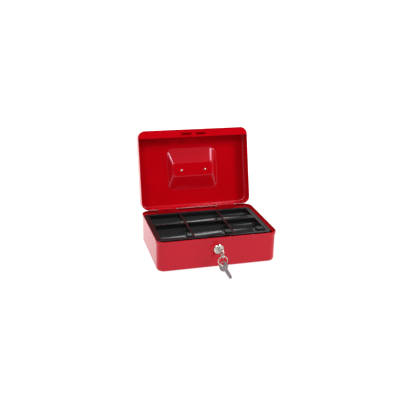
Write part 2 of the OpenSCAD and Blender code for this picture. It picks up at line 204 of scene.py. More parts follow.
def sweep(bm, path, section, normal, end_round):
    """Bar of a section of (across, up) offsets along a path, with up kept near normal.

    Both tips are rounded off over end_round, down to half the section.
    """
    bends = (0, 0.4, 0.8, 1.2, math.pi / 2)
    tips = [(end_round * (1 - math.cos(bend)), 0.5 + 0.5 * math.sin(bend)) for bend in bends]
    first = (path[1] - path[0]).normalized()
    last = (path[-2] - path[-1]).normalized()
    stations = [(path[0] + first * back, scale) for back, scale in tips]
    stations += [(point, 1.0) for point in path[1:-1]]
    stations += [(path[-1] + last * back, scale) for back, scale in reversed(tips)]
    rows = []
    for i, (point, scale) in enumerate(stations):
        before = stations[max(i - 1, 0)][0]
        after = stations[min(i + 1, len(stations) - 1)][0]
        along = (after - before).normalized()
        across = along.cross(normal).normalized()
        up = across.cross(along)
        rows.append([bm.verts.new(point + (across * a + up * b) * scale) for a, b in section])
    for here, there in zip(rows, rows[1:]):
        for j in range(len(section)):
            k = (j + 1) % len(section)
            bm.faces.new((here[j], here[k], there[k], there[j]))
    bm.faces.new(rows[0])
    bm.faces.new(rows[-1])


def plate(bm, loops, half, pockets=()):
    """Flat plate about x = 0 from an outline and its holes, as loops of (y, z).

    A pocket is (side, depth, loop): a shallow recess in the face on side -1 or 1.
    """
    rims = {}
    for side in (-1, 1):
        face_loops = list(loops)
        floors = []
        for pocket_side, depth, loop in pockets:
            if pocket_side == side:
                face_loops.append(loop)
                floors.append((len(face_loops) - 1, depth))
        verts = [[bm.verts.new((side * half, y, z)) for y, z in loop] for loop in face_loops]
        flat = [[Vector((y, z, 0)) for y, z in loop] for loop in face_loops]
        joined = [v for ring_verts in verts for v in ring_verts]
        for triangle in tessellate_polygon(flat):
            bm.faces.new([joined[i] for i in triangle])
        for index, depth in floors:
            loop = face_loops[index]
            low = [bm.verts.new((side * (half - depth), y, z)) for y, z in loop]
            for j in range(len(loop)):
                k = (j + 1) % len(loop)
                bm.faces.new((verts[index][j], verts[index][k], low[k], low[j]))
            for triangle in tessellate_polygon([flat[index]]):
                bm.faces.new([low[i] for i in triangle])
        rims[side] = verts[:len(loops)]
    for left, right in zip(rims[-1], rims[1]):
        for j in range(len(left)):
            k = (j + 1) % len(left)
            bm.faces.new((left[j], left[k], right[k], right[j]))


def arc_points(centre, radius, start, end, steps):
    angles = [start + (end - start) * k / steps for k in range(steps + 1)]
    return [(centre[0] + radius * math.cos(a), centre[1] + radius * math.sin(a)) for a in angles]


def add_piece(name, mesh_or_bm, material, body, replaced=(), place=None):
    """Turns a mesh into a piece that rides on a body and stands for its CAD nodes."""
    if isinstance(mesh_or_bm, bmesh.types.BMesh):
        bm = mesh_or_bm
        bmesh.ops.remove_doubles(bm, verts=bm.verts, dist=0.0005 * MM)
        bmesh.ops.delete(bm, geom=[v for v in bm.verts if not v.link_faces], context="VERTS")
        bmesh.ops.recalc_face_normals(bm, faces=bm.faces)
        mesh = bpy.data.meshes.new(name)
        bm.to_mesh(mesh)
        bm.free()
    else:
        mesh = mesh_or_bm
    if place is not None:
        mesh.transform(place)
    for polygon in mesh.polygons:
        polygon.use_smooth = True
    mesh.materials.clear()
    mesh.materials.append(material)
    obj = bpy.data.objects.new(name, mesh)
    bpy.context.scene.collection.objects.link(obj)
    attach(obj, body)
    if replaced:
        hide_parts(*replaced)
    return obj


def soften(obj, width, segments=2):
    """Rounds a piece's sharp edges."""
    bevel = obj.modifiers.new("edges", "BEVEL")
    bevel.width = width
    bevel.segments = segments
    bevel.limit_method = "ANGLE"
    bevel.angle_limit = SHARP_ANGLE


def even_normals(obj):
    """Keeps wide flat faces flat in the shading, beside their rounded edges."""
    modifier = obj.modifiers.new("even_normals", "WEIGHTED_NORMAL")
    modifier.keep_sharp = True
    modifier.weight = 80


# ---- Camera ----

CAMERA_AZIMUTH = math.radians(-15.73)
CAMERA_ELEVATION = math.radians(20.0)
CAMERA_ROLL = math.radians(-1.22)
CAMERA_DISTANCE = 1.26915
CAMERA_TARGET = Vector((-16.57 * MM, 0.0, 113.83 * MM))
CAMERA_LENS = 55.28


def make_camera():
    back = Vector((
        math.sin(CAMERA_AZIMUTH) * math.cos(CAMERA_ELEVATION),
        -math.cos(CAMERA_AZIMUTH) * math.cos(CAMERA_ELEVATION),
        math.sin(CAMERA_ELEVATION),
    ))
    right = Vector((math.cos(CAMERA_AZIMUTH), math.sin(CAMERA_AZIMUTH), 0.0))
    up = back.cross(right)
    turned_right = right * math.cos(CAMERA_ROLL) - up * math.sin(CAMERA_ROLL)
    turned_up = right * math.sin(CAMERA_ROLL) + up * math.cos(CAMERA_ROLL)
    data = bpy.data.cameras.new("camera")
    data.lens = CAMERA_LENS
    data.sensor_width = 36.0
    data.clip_start = 0.01
    data.clip_end = 100.0
    camera = bpy.data.objects.new("camera", data)
    bpy.context.scene.collection.objects.link(camera)
    camera.matrix_world = Matrix.Translation(CAMERA_TARGET + back * CAMERA_DISTANCE) @ Matrix(
        (turned_right, turned_up, back)
    ).transposed().to_4x4()
    bpy.context.scene.camera = camera


# ---- Studio ----

RANGE_SOCKETS = ("From Min", "From Max", "To Min", "To Max")
WORLD_HEIGHTS = (0.2, 0.65)
WORLD_RADIANCE = (1.02, 0.4)
FLOOR_HALF = 40.0
FLOOR_ALBEDO = 0.12
FLOOR_GLOW = (0.9, 1.5)
FLOOR_GLOW_Y = (-0.1, 0.5)
FLOOR_DROP = 0.02 * MM
CARD_HALF = (1.5, 0.42)
CARD_TOWARDS = (-0.17, -0.97, 0.15)
CARD_DISTANCE = 1.55
CARD_AIM = Vector((0, 0.12, 0.17))
LIGHT_DISTANCE = 2.0
# Name, direction from the box, size across and along, radiance
SOFT_BOXES = (
    ("top_light", (-0.25, 0.13, 0.95), (1.2, 0.14), 30.0),
    ("fill_light", (0.27, 0.13, 0.95), (0.7, 0.14), 12.0),
    ("right_light", (0.55, -0.5, 0.67), (0.45, 1.0), 12.0),
    ("left_light", (-0.5, -0.58, 0.64), (0.4, 0.4), 16.0),
)


def facing(direction, distance, aim):
    """Placement at a distance from aim along a direction, turned so that its -Z looks back at aim."""
    away = Vector(direction).normalized()
    return Matrix.Translation(aim + away * distance) @ away.to_track_quat("Z", "Y").to_matrix().to_4x4()


def soft_box(name, direction, size, radiance):
    """Rectangular area light of a given brightness that faces the box."""
    data = bpy.data.lights.new(name, "AREA")
    data.shape = "RECTANGLE"
    data.size, data.size_y = size
    data.energy = radiance * math.pi * size[0] * size[1]
    light = bpy.data.objects.new(name, data)
    bpy.context.scene.collection.objects.link(light)
    light.matrix_world = facing(direction, LIGHT_DISTANCE, CAMERA_TARGET)


def make_world():
    """White tent, bright near the horizon and dimmer overhead."""
    world = bpy.data.worlds.new("studio")
    bpy.context.scene.world = world
    world.use_nodes = True
    nodes, links = world.node_tree.nodes, world.node_tree.links
    background = nodes["Background"]
    background.inputs["Color"].default_value = (1.0, 0.985, 1.0, 1)
    split = nodes.new("ShaderNodeSeparateXYZ")
    links.new(nodes.new("ShaderNodeTexCoord").outputs["Generated"], split.inputs[0])
    ramp = nodes.new("ShaderNodeMapRange")
    ramp.interpolation_type = "SMOOTHSTEP"
    for socket, number in zip(RANGE_SOCKETS, WORLD_HEIGHTS + WORLD_RADIANCE):
        ramp.inputs[socket].default_value = number
    links.new(split.outputs["Z"], ramp.inputs["Value"])
    links.new(ramp.outputs[0], background.inputs["Strength"])


def stage_plane(name, half_x, half_y, shader_values):
    bm = bmesh.new()
    corners = ((-half_x, -half_y), (half_x, -half_y), (half_x, half_y), (-half_x, half_y))
    bm.faces.new([bm.verts.new((x, y, 0)) for x, y in corners])
    mesh = bpy.data.meshes.new(name)
    bm.to_mesh(mesh)
    bm.free()
    shader = Shader(name, **shader_values)
    mesh.materials.append(shader.material)
    plane = bpy.data.objects.new(name, mesh)
    bpy.context.scene.collection.objects.link(plane)
    return plane, shader


def make_floor():
    """Pale glowing table: brighter towards the back, where the backdrop is lit."""
    floor, shader = stage_plane("floor", FLOOR_HALF, FLOOR_HALF, {
        "Base_Color": (FLOOR_ALBEDO, FLOOR_ALBEDO, FLOOR_ALBEDO, 1),
        "Roughness": 0.6,
        "Specular_IOR_Level": 0.2,
        "Emission_Color": (1, 1, 1, 1),
    })
    floor.location.z = -FLOOR_DROP
    shader.drive("Emission Strength", shader.ranged(shader.along("Y"), *FLOOR_GLOW_Y, *FLOOR_GLOW))


def make_dark_card():
    """Dark card low in front: the flat inside of the lid mirrors it and so keeps its full colour."""
    card, _ = stage_plane("dark_card", *CARD_HALF, {
        "Base_Color": (0.01, 0.01, 0.01, 1), "Roughness": 0.9, "Specular_IOR_Level": 0.0,
    })
    card.matrix_world = facing(CARD_TOWARDS, CARD_DISTANCE, CARD_AIM)
    card.visible_camera = False


# ---- Materials ----


class Shader:
    """A Principled material with short calls for its texture nodes, in object space."""

    def __init__(self, name, **sockets):
        self.material = bpy.data.materials.new(name)
        self.material.use_nodes = True
        self.nodes = self.material.node_tree.nodes
        self.links = self.material.node_tree.links
        self.surface = self.nodes["Principled BSDF"]
        self.place = self.nodes.new("ShaderNodeTexCoord").outputs["Object"]
        for socket, value in sockets.items():
            self.surface.inputs[socket.replace("_", " ")].default_value = value

    def along(self, axis):
        """Object coordinate along X, Y or Z."""
        node = self.nodes.new("ShaderNodeSeparateXYZ")
        self.links.new(self.place, node.inputs[0])
        return node.outputs[axis]

    def stretched(self, scale):
        """Object coordinates scaled differently along X, Y and Z."""
        node = self.nodes.new("ShaderNodeMapping")
        node.inputs["Scale"].default_value = scale
        self.links.new(self.place, node.inputs["Vector"])
        return node.outputs[0]

    def noise(self, scale, detail=2.0, roughness=0.5, place=None):
        node = self.nodes.new("ShaderNodeTexNoise")
        node.inputs["Scale"].default_value = scale
        node.inputs["Detail"].default_value = detail
        node.inputs["Roughness"].default_value = roughness
        self.links.new(place or self.place, node.inputs["Vector"])
        return node.outputs["Fac"]

    def ranged(self, value, low, high, out_low, out_high):
        node = self.nodes.new("ShaderNodeMapRange")
        for socket, number in zip(RANGE_SOCKETS, (low, high, out_low, out_high)):
            node.inputs[socket].default_value = number
        self.links.new(value, node.inputs["Value"])
        return node.outputs[0]

    def colour(self, value, first, second):
        node = self.nodes.new("ShaderNodeMix")
        node.data_type = "RGBA"
        node.inputs["A"].default_value = (*first, 1)
        node.inputs["B"].default_value = (*second, 1)
        self.links.new(value, node.inputs["Factor"])
        return node.outputs["Result"]

    def bump(self, height, distance, strength=1.0, normal=None):
        node = self.nodes.new("ShaderNodeBump")
        node.inputs["Distance"].default_value = distance
        node.inputs["Strength"].default_value = strength
        self.links.new(height, node.inputs["Height"])
        if normal is not None:
            self.links.new(normal, node.inputs["Normal"])
        return node.outputs[0]

    def total(self, first, second):
        node = self.nodes.new("ShaderNodeMath")
        node.operation = "ADD"
        self.links.new(first, node.inputs[0])
        self.links.new(second, node.inputs[1])
        return node.outputs[0]

    def drive(self, socket, value):
        self.links.new(value, self.surface.inputs[socket])


def red_paint():
    """Glossy stove enamel on steel: faint orange peel, slow waviness of the sheet and light smudges."""
    shader = Shader("red_paint", IOR=1.45, Specular_Tint=(1.0, 0.72, 1.0, 1))
    tone = shader.ranged(shader.noise(18, 3), 0.3, 0.7, 0.0, 1.0)
    shader.drive("Base Color", shader.colour(tone, (0.53, 0.0004, 0.0050), (0.57, 0.0006, 0.0064)))
    smudge = shader.noise(55, 5, 0.6)
    shader.drive("Roughness", shader.ranged(smudge, 0.35, 0.75, 0.05, 0.11))
    waves = shader.bump(shader.noise(14, 1), 0.12 * MM, 0.5)
    peel = shader.bump(shader.noise(700, 2), 0.003 * MM, 0.6, waves)
    shader.drive("Normal", peel)
    return shader.material


def black_plastic(rim_z):
    """Moulded black polystyrene: glossy cells with faint handling marks, and matt rims at the top."""
    shader = Shader("black_plastic", IOR=1.4)
    tone = shader.noise(40, 4)
    shader.drive("Base Color", shader.colour(tone, (0.006, 0.006, 0.0065), (0.010, 0.010, 0.011)))
    matt = shader.ranged(shader.along("Z"), rim_z - 3 * MM, rim_z - 1 * MM, 0.0, 0.22)
    gloss = shader.ranged(shader.noise(90, 6, 0.65), 0.3, 0.75, 0.09, 0.16)
    shader.drive("Roughness", shader.total(gloss, matt))
    grain = shader.bump(shader.noise(2600, 2), 0.003 * MM, 0.4)
    shader.drive("Normal", shader.bump(shader.noise(25, 1), 0.10 * MM, 0.4, grain))
    return shader.material


def metal(name, first, second, smooth, rough, stretch):
    """Plated metal: drawn grain along one direction, blotches of roughness and slightly uneven colour."""
    shader = Shader(name, Metallic=1.0)
    shader.drive("Base Color", shader.colour(shader.noise(260, 4), first, second))
    streaks = shader.noise(900, 3, 0.6, shader.stretched(stretch))
    blotches = shader.noise(330, 4, 0.6)
    shader.drive("Roughness", shader.ranged(shader.total(streaks, blotches), 0.7, 1.3, smooth, rough))
    shader.drive("Normal", shader.bump(streaks, 0.004 * MM, 0.7))
    return shader.material


def dark_steel():
    """Phosphated steel: dark, matt, mottled at a fine scale and a little oily."""
    shader = Shader("dark_steel", Metallic=0.6)
    mottle = shader.noise(1200, 5, 0.7)
    shader.drive("Base Color", shader.colour(mottle, (0.012, 0.011, 0.013), (0.035, 0.034, 0.036)))
    shader.drive("Roughness", shader.ranged(shader.noise(300, 4), 0.3, 0.7, 0.30, 0.48))
    shader.drive("Normal", shader.bump(mottle, 0.006 * MM, 0.6))
    return shader.material


materials = {
    "red_paint": red_paint(),
    "black_plastic": black_plastic(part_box("coin_tray")[1].z),
    "nickel": metal("nickel", (0.60, 0.59, 0.53), (0.70, 0.69, 0.63), 0.10, 0.24, (1, 0.15, 1)),
    "zinc": metal("zinc", (0.55, 0.57, 0.60), (0.68, 0.68, 0.64), 0.28, 0.48, (1, 1, 0.3)),
    "dark_steel": dark_steel(),
    "brass": metal("brass", (0.72, 0.52, 0.22), (0.80, 0.62, 0.30), 0.25, 0.40, (1, 1, 0.2)),
    "key_steel": metal("key_steel", (0.20, 0.17, 0.175), (0.38, 0.34, 0.34), 0.22, 0.40, (1, 0.12, 1)),
    "bright_key": metal("bright_key", (0.62, 0.58, 0.55), (0.74, 0.69, 0.66), 0.20, 0.36, (1, 0.12, 1)),
}

# ---- Body and lid: one drawn sheet each ----

wall_straight_x = WALL_X - WALL_CORNER
notch_shares = [edge / wall_straight_x for edge in NOTCH]
SIDE_STOPS = (
    [-notch_shares[1], -(notch_shares[0] + notch_shares[1]) / 2, -notch_shares[0], -0.2, 0.0, 0.2,
     notch_shares[0], (notch_shares[0] + notch_shares[1]) / 2, notch_shares[1]],
    [-0.5, 0.0, 0.5],
)
# Where each notch starts among the stops of the back wall; its middle and end stops follow
NOTCH_STOPS = (1, 7)
SIDE_POINTS = len(SIDE_STOPS[0]) + 2
END_POINTS = len(SIDE_STOPS[1]) + 2
# Index, along a ring, of the back right end of the straight back wall
BACK_START = 2 * (ARC_STEPS - 1) + SIDE_POINTS + END_POINTS + ARC_STEPS // 2


def wall_ring(out, z):
    return ring(WALL_X + out, WALL_Y + out, WALL_CORNER + out, z, stops=SIDE_STOPS)


def notch_gaps(first, last):
    """The two hinge notches in the back wall, between two rings."""
    return [(first, last, BACK_START + stop, BACK_START + stop + 2) for stop in NOTCH_STOPS]


def shell(name, rings, first, last, body, slot, replaced, place=None):
    """Closed sheet from rings that run out over one skin and back along the other."""
    bm = bmesh.new()
    gaps = notch_gaps(first, last)
    rows = loft(bm, rings, gaps)
    bm.faces.new(rows[0])
    bm.faces.new(rows[-1])
    for gap in gaps:
        close_gap(bm, rows, gap)
    even_normals(add_piece(name, bm, materials[slot], body, replaced, place))


def nearest(path, a, b):
    target = Vector((a, b))
    return min(range(len(path)), key=lambda i: (path[i] - target).length)


def make_body():
    flare_z = BODY_TOP.z - RIM_HEIGHT - RIM_FLARE
    notch_z = LID_AXIS.z - BARREL_ROOM
    inner = RIM_FLARE - SHEET
    path = rounded_path([
        (-BASE_RADIUS - FLAT_EDGE, 0, 0),
        (0, 0, BASE_RADIUS),
        (0, BODY_TOP.z / 2, 0),
        (0, flare_z, RIM_FOLDS[0]),
        (RIM_FLARE, flare_z + RIM_FLARE, RIM_FOLDS[1]),
        (RIM_FLARE, notch_z, 0),
        (RIM_FLARE, BODY_TOP.z, CUT_EDGE),
        (inner, BODY_TOP.z, CUT_EDGE),
        (inner, notch_z, 0),
        (inner, flare_z + RIM_FLARE, RIM_FOLDS_INSIDE[0]),
        (-SHEET, flare_z, RIM_FOLDS_INSIDE[1]),
        (-SHEET, BODY_TOP.z / 2, 0),
        (-SHEET, SHEET, BASE_RADIUS - SHEET),
        (-BASE_RADIUS - FLAT_EDGE, SHEET, 0),
    ])
    rings = [wall_ring(p.x, p.y) for p in path]
    first = nearest(path, RIM_FLARE, notch_z)
    last = nearest(path, inner, notch_z)
    shell("box_body", rings, first, last, "body", "red_paint", ["body_shell"])


RECESS_HALF = (56 * MM, 45 * MM)
RECESS_RUN = (11 * MM, 30 * MM)
RECESS_DEPTH = 12 * MM
RECESS_CORNERS = (14 * MM, 7 * MM)
RECESS_Y = 2 * MM
RECESS_BEND = 2.2 * MM


def recess_profile(run, thickness):
    """Path down one slope of the recess as (inwards, down), at a thickness below the outer skin."""
    slope = Vector((run, RECESS_DEPTH)).normalized()
    corners = [
        (Vector((-RECESS_BEND, 0)), Vector((0, 0)), slope * RECESS_BEND),
        (Vector((run, RECESS_DEPTH)) - slope * RECESS_BEND, Vector((run, RECESS_DEPTH)),
         Vector((run + RECESS_BEND, RECESS_DEPTH))),
    ]
    steps = 8
    path = []
    for start, middle, end in corners:
        for k in range(steps + 1):
            t = k / steps
            point = start * (1 - t) ** 2 + middle * 2 * t * (1 - t) + end * t ** 2
            heading = ((middle - start) * (1 - t) + (end - middle) * t).normalized()
            path.append(point + Vector((-heading.y, heading.x)) * thickness)
    return path


def recess_rings(thickness):
    endwise = recess_profile(RECESS_RUN[0], thickness)
    sidewise = recess_profile(RECESS_RUN[1], thickness)
    rings = []
    for end, side in zip(endwise, sidewise):
        share = (end.x / RECESS_RUN[0] + side.x / RECESS_RUN[1]) / 2
        radius = RECESS_CORNERS[0] + (RECESS_CORNERS[1] - RECESS_CORNERS[0]) * share
        rings.append(ring(
            RECESS_HALF[0] - end.x, RECESS_HALF[1] - side.x, max(radius, 2 * MM),
            LID_TOP - side.y, LID_TOP - end.y, centre_y=RECESS_Y, stops=SIDE_STOPS,
        ))
    return rings


def make_lid():
    notch_z = LID_AXIS.z + BARREL_ROOM
    panel = -LID_RADIUS - FLAT_EDGE
    path = rounded_path([
        (panel, LID_TOP, 0),
        (0, LID_TOP, LID_RADIUS),
        (0, notch_z, 0),
        (0, LID_LOW, CUT_EDGE),
        (-SHEET, LID_LOW, CUT_EDGE),
        (-SHEET, notch_z, 0),
        (-SHEET, LID_TOP - SHEET, LID_RADIUS - SHEET),
        (panel, LID_TOP - SHEET, 0),
    ])
    walls = [wall_ring(p.x, p.y) for p in path]
    outer = recess_rings(0.0)[::-1]
    inner = recess_rings(SHEET)
    rings = outer + walls + inner
    first = len(outer) + nearest(path, 0, notch_z)
    last = len(outer) + nearest(path, -SHEET, notch_z)
    shell("lid", rings, first, last, "lid", "red_paint", ["lid_shell"], OPEN_LID)


# ---- Coin tray ----

tray_low, tray_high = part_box("coin_tray")
TRAY_CORNER = 10 * MM
TRAY_FLANGE = 11 * MM
TRAY_SKIN = 1.2 * MM
TRAY_LIP = 1.3 * MM
CELL_LIP = 1.0 * MM
LIP_STEPS = 5
LIP_EDGE = 0.1 * MM
RIM_FLAT = 0.3 * MM
DIVIDER = 4 * MM
COLUMN_EDGE = 42 * MM
FRONT_MARGIN = 6 * MM
FRONT_ROW = 75 * MM
BACK_ROW = 54 * MM
SCOOP_BELOW_RIM = 9 * MM
CELL_CORNER = 4 * MM
CELL_DRAFT = 0.5 * MM
CELL_FOOT = 2.6 * MM
CELL_ARC = 6
CELL_STOPS = ([-0.6, -0.2, 0.2, 0.6], [k / 12 for k in range(-11, 12)])


def scoop_height(y, row_y, row_depth):
    """Height of the round bottom of a row of cells."""
    drop = row_depth / 4
    radius = (row_depth ** 2 / 4 + drop ** 2) / (2 * drop)
    top = tray_high.z - SCOOP_BELOW_RIM
    across = min(abs(y - row_y - row_depth / 2), row_depth / 2)
    return top - drop + radius - math.sqrt(radius ** 2 - across ** 2)


def cell_rings(x0, x1, row_y, row_depth):
    """Rings down the sides of a cell, from the flat rim to the edge of the scooped floor."""
    half_x, half_y = (x1 - x0) / 2, row_depth / 2
    middle = Vector(((x0 + x1) / 2, row_y + half_y, 0))
    rim = tray_high.z

    def outline(grow):
        points = ring(half_x + grow, half_y + grow, CELL_CORNER + grow, 0, stops=CELL_STOPS, arc=CELL_ARC)
        return [p + middle for p in points]

    rings = [[p + Vector((0, 0, rim)) for p in outline(CELL_LIP + LIP_EDGE)]]
    for k in range(LIP_STEPS + 1):
        bend = math.pi / 2 * k / LIP_STEPS
        drop = CELL_LIP * (1 - math.cos(bend))
        rings.append([p + Vector((0, 0, rim - drop)) for p in outline(CELL_LIP * (1 - math.sin(bend)))])
    foot = outline(-CELL_DRAFT)
    floor_edge = outline(-CELL_DRAFT - CELL_FOOT)
    lip_foot = rim - CELL_LIP
    wall_foot = [scoop_height(p.y, row_y, row_depth) + CELL_FOOT for p in foot]
    for share in (0.5, 1.0):
        rings.append([
            p.lerp(q, share) + Vector((0, 0, lip_foot + (z - lip_foot) * share))
            for p, q, z in zip(outline(0.0), foot, wall_foot)
        ])
    for k in range(1, LIP_STEPS + 1):
        t = k / LIP_STEPS
        points = []
        for start, end, z in zip(foot, floor_edge, wall_foot):
            low = scoop_height(start.y, row_y, row_depth)
            end_z = scoop_height(end.y, row_y, row_depth)
            height = z * (1 - t) ** 2 + low * 2 * t * (1 - t) + end_z * t ** 2
            flat = start.lerp(end, t ** 2)
            points.append(Vector((flat.x, flat.y, height)))
        rings.append(points)
    return rings


def fill_scoop(bm, edge, row_y, row_depth):
    """Grid over the floor of a cell, from the loop of verts round it."""
    across = CELL_ARC - 1 + len(CELL_STOPS[0]) + 2
    deep = CELL_ARC - 1 + len(CELL_STOPS[1]) + 2
    front = [edge[i] for i in range(across + 1)]
    right = [edge[across + j] for j in range(deep + 1)]
    back = [edge[2 * across + deep - i] for i in range(across + 1)]
    left = [edge[(2 * across + 2 * deep - j) % len(edge)] for j in range(deep + 1)]
    grid = [[None] * (deep + 1) for _ in range(across + 1)]
    for i in range(across + 1):
        for j in range(deep + 1):
            if j == 0:
                grid[i][j] = front[i]
            elif j == deep:
                grid[i][j] = back[i]
            elif i == 0:
                grid[i][j] = left[j]
            elif i == across:
                grid[i][j] = right[j]
            else:
                u = (front[i].co.x - front[0].co.x) / (front[-1].co.x - front[0].co.x)
                v = (left[j].co.y - left[0].co.y) / (left[-1].co.y - left[0].co.y)
                point = front[i].co * (1 - v) + back[i].co * v + left[j].co * (1 - u) + right[j].co * u
                point -= front[0].co * (1 - u) * (1 - v) + front[-1].co * u * (1 - v)
                point -= back[0].co * (1 - u) * v + back[-1].co * u * v
                point.z = scoop_height(point.y, row_y, row_depth)
                grid[i][j] = bm.verts.new(point)
    for i in range(across):
        for j in range(deep):
            bm.faces.new((grid[i][j], grid[i + 1][j], grid[i + 1][j + 1], grid[i][j + 1]))


def make_tray():
    bm = bmesh.new()
    centre_y = (tray_low.y + tray_high.y) / 2
    half_x, half_y = tray_high.x, (tray_high.y - tray_low.y) / 2
    columns = [
        (tray_low.x + TRAY_FLANGE, -COLUMN_EDGE - DIVIDER / 2),
        (-COLUMN_EDGE + DIVIDER / 2, COLUMN_EDGE - DIVIDER / 2),
        (COLUMN_EDGE + DIVIDER / 2, tray_high.x - TRAY_FLANGE),
    ]
    front_y = tray_low.y + FRONT_MARGIN
    cell_rows = [(front_y, FRONT_ROW), (front_y + FRONT_ROW + DIVIDER, BACK_ROW)]

    def rim_ring(inset, drop):
        corner, z = TRAY_CORNER - inset, tray_high.z - drop
        return ring(half_x - inset, half_y - inset, corner, z, centre_y=centre_y, stops=((), ()))

    edge_rings = [rim_ring(TRAY_LIP + RIM_FLAT, 0.0)]
    for k in range(LIP_STEPS + 1):
        bend = math.pi / 2 * k / LIP_STEPS
        edge_rings.append(rim_ring(TRAY_LIP * (1 - math.sin(bend)), TRAY_LIP * (1 - math.cos(bend))))
    loops = [loft(bm, edge_rings)[0]]
    for x0, x1 in columns:
        for row_y, row_depth in cell_rows:
            rows = loft(bm, cell_rings(x0, x1, row_y, row_depth))
            fill_scoop(bm, rows[-1], row_y, row_depth)
            loops.append(rows[0])
    verts = [v for loop in loops for v in loop]
    for triangle in tessellate_polygon([[v.co for v in loop] for loop in loops]):
        bm.faces.new([verts[i] for i in triangle])
    obj = add_piece("tray", bm, materials["black_plastic"], "tray", ["coin_tray"])
    skin = obj.modifiers.new("skin", "SOLIDIFY")
    skin.thickness = TRAY_SKIN
    skin.offset = -1
    skin.use_even_offset = True
    even_normals(obj)


# ---- Strike plate ----

STRIKE_WIDTH = 17 * MM
STRIKE_TURN_UP = 8 * MM
STRIKE_ROOM = 0.35 * MM
SLOT_X = (5 * MM, 27 * MM)
SLOT_Y = -76 * MM
SLOT_WIDTH = 5.5 * MM
STRIKE_EDGE = 0.32 * MM
TURN_UP_EDGE = 0.25 * MM


def make_strike_plate():
    """Flange across the lid's front, with rolled edges that end just short of the lid.

    Its outline is in X and Y.
    """
    half_x = WALL_X - SHEET - STRIKE_ROOM
    front = -(WALL_Y - SHEET - STRIKE_ROOM)
    back = -(WALL_Y - SHEET) + STRIKE_WIDTH - SHEET
    corner = WALL_CORNER - SHEET
    outline = arc_points((-half_x + corner, front + corner), corner, -math.pi, -math.pi / 2, 14)
    outline += arc_points((half_x - corner, front + corner), corner, -math.pi / 2, 0, 14)
    outline += [(half_x, back), (-half_x, back)]
    loops = [outline]
    for side in (-1, 1):
        x0, x1 = sorted((side * SLOT_X[0], side * SLOT_X[1]))
        y0, y1 = SLOT_Y - SLOT_WIDTH / 2, SLOT_Y + SLOT_WIDTH / 2
        loops.append([(x0, y0), (x1, y0), (x1, y1), (x0, y1)])
    bm = bmesh.new()
    plate(bm, loops, SHEET / 2)
    # The plate is drawn about x = 0 in Y and Z: turn it to lie in X and Y
    lie_down = Matrix(((0, 1, 0, 0), (0, 0, 1, 0), (1, 0, 0, LID_LOW + SHEET / 2), (0, 0, 0, 1)))
    bmesh.ops.transform(bm, verts=bm.verts, matrix=lie_down)
    obj = add_piece("strike", bm, materials["red_paint"], "lid", ["strike_plate"], OPEN_LID)
    soften(obj, STRIKE_EDGE, 3)
    even_normals(obj)

    straight = WALL_X - WALL_CORNER
    bm = bmesh.new()
    z0, z1 = LID_LOW + SHEET * 0.8, LID_LOW + STRIKE_TURN_UP
    plate(bm, [[(front, z0), (front + SHEET, z0), (front + SHEET, z1), (front, z1)]], straight)
    turned = add_piece("strike_turn_up", bm, materials["red_paint"], "lid", (), OPEN_LID)
    soften(turned, TURN_UP_EDGE)
    even_normals(turned)


# ---- Handle ----

BAIL_BEND = 8 * MM
BAIL_END = 19.5 * MM
BAIL_TIP = 0.8 * MM
RIVET_X = 27 * MM
RIVET_Y = 4 * MM
RIVET_HEAD = 2.4 * MM
RIVET_RISE = 1.0 * MM
RIVET_SHANK = 2 * MM
RIVET_DEEP = 0.8 * MM
RIVET_PEAK = 0.05 * MM
RIVET_EDGE = 0.15 * MM
DOME_STEPS = 8


def make_handle():
    """Bent wire handle, hanging from its two posts."""
    bail_low, bail_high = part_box("handle_bail")
    wire = (bail_high.y - bail_low.y) / 2
    pivot = Vector(joints["handle_fold"]["pos_m"])
    side, grip = bail_high.x - wire, bail_low.z + wire
    path = rounded_path([
        (BAIL_END, pivot.z, 0), (side, pivot.z, BAIL_BEND), (side, grip, BAIL_BEND),
        (-side, grip, BAIL_BEND), (-side, pivot.z, BAIL_BEND), (-BAIL_END, pivot.z, 0),
    ], 14)
    bm = bmesh.new()
    route = [Vector((p.x, pivot.y, p.y)) for p in path]
    sweep(bm, route, wire_section(2 * wire, 2 * wire, 28, 1.0), Vector((0, 1, 0)), BAIL_TIP)
    obj = add_piece("handle", bm, materials["nickel"], "handle", ["handle_bail"])
    even_normals(obj)


def make_rivets():
    """Two round-headed rivets through the floor of the recess."""
    dome = (RIVET_HEAD ** 2 + RIVET_RISE ** 2) / (2 * RIVET_RISE)
    half_turn = math.asin(RIVET_HEAD / dome)
    inside = -SHEET
    profile = [(RIVET_DEEP, 0), (RIVET_DEEP, RIVET_SHANK), (inside, RIVET_SHANK)]
    profile.append((inside, RIVET_HEAD - RIVET_EDGE))
    for k in range(DOME_STEPS + 1):
        angle = half_turn * (1 - k / DOME_STEPS)
        height = RIVET_RISE - dome * (1 - math.cos(angle)) + RIVET_PEAK * k / DOME_STEPS
        profile.append((inside - height, dome * math.sin(angle)))
    bm = bmesh.new()
    for x in (-RIVET_X, RIVET_X):
        start = len(bm.verts)
        lathe(bm, profile, 40)
        bm.verts.ensure_lookup_table()
        upright = Matrix.Rotation(math.pi / 2, 4, "X")
        place = Matrix.Translation((x, RIVET_Y, LID_TOP - RECESS_DEPTH)) @ upright
        bmesh.ops.transform(bm, verts=bm.verts[start:], matrix=place)
    add_piece("rivets", bm, materials["nickel"], "lid", ["handle_rivets"], OPEN_LID)


# ---- Lock ----

LOCK_FACE_BEVEL = 1.1 * MM
LOCK_RIM = 1.5 * MM
LOCK_DISH = (0.3 * MM, 0.45 * MM)
LOCK_GROOVE_DEPTH = 0.7 * MM
LOCK_GROOVE = (0.55 * MM, 0.75 * MM)
LOCK_BARREL = 7.5 * MM
LOCK_RELIEF = 0.2 * MM
LOCK_RUN_FIT = 0.05 * MM
THREAD_PITCH = 0.9 * MM
THREAD_DEPTH = 0.28 * MM


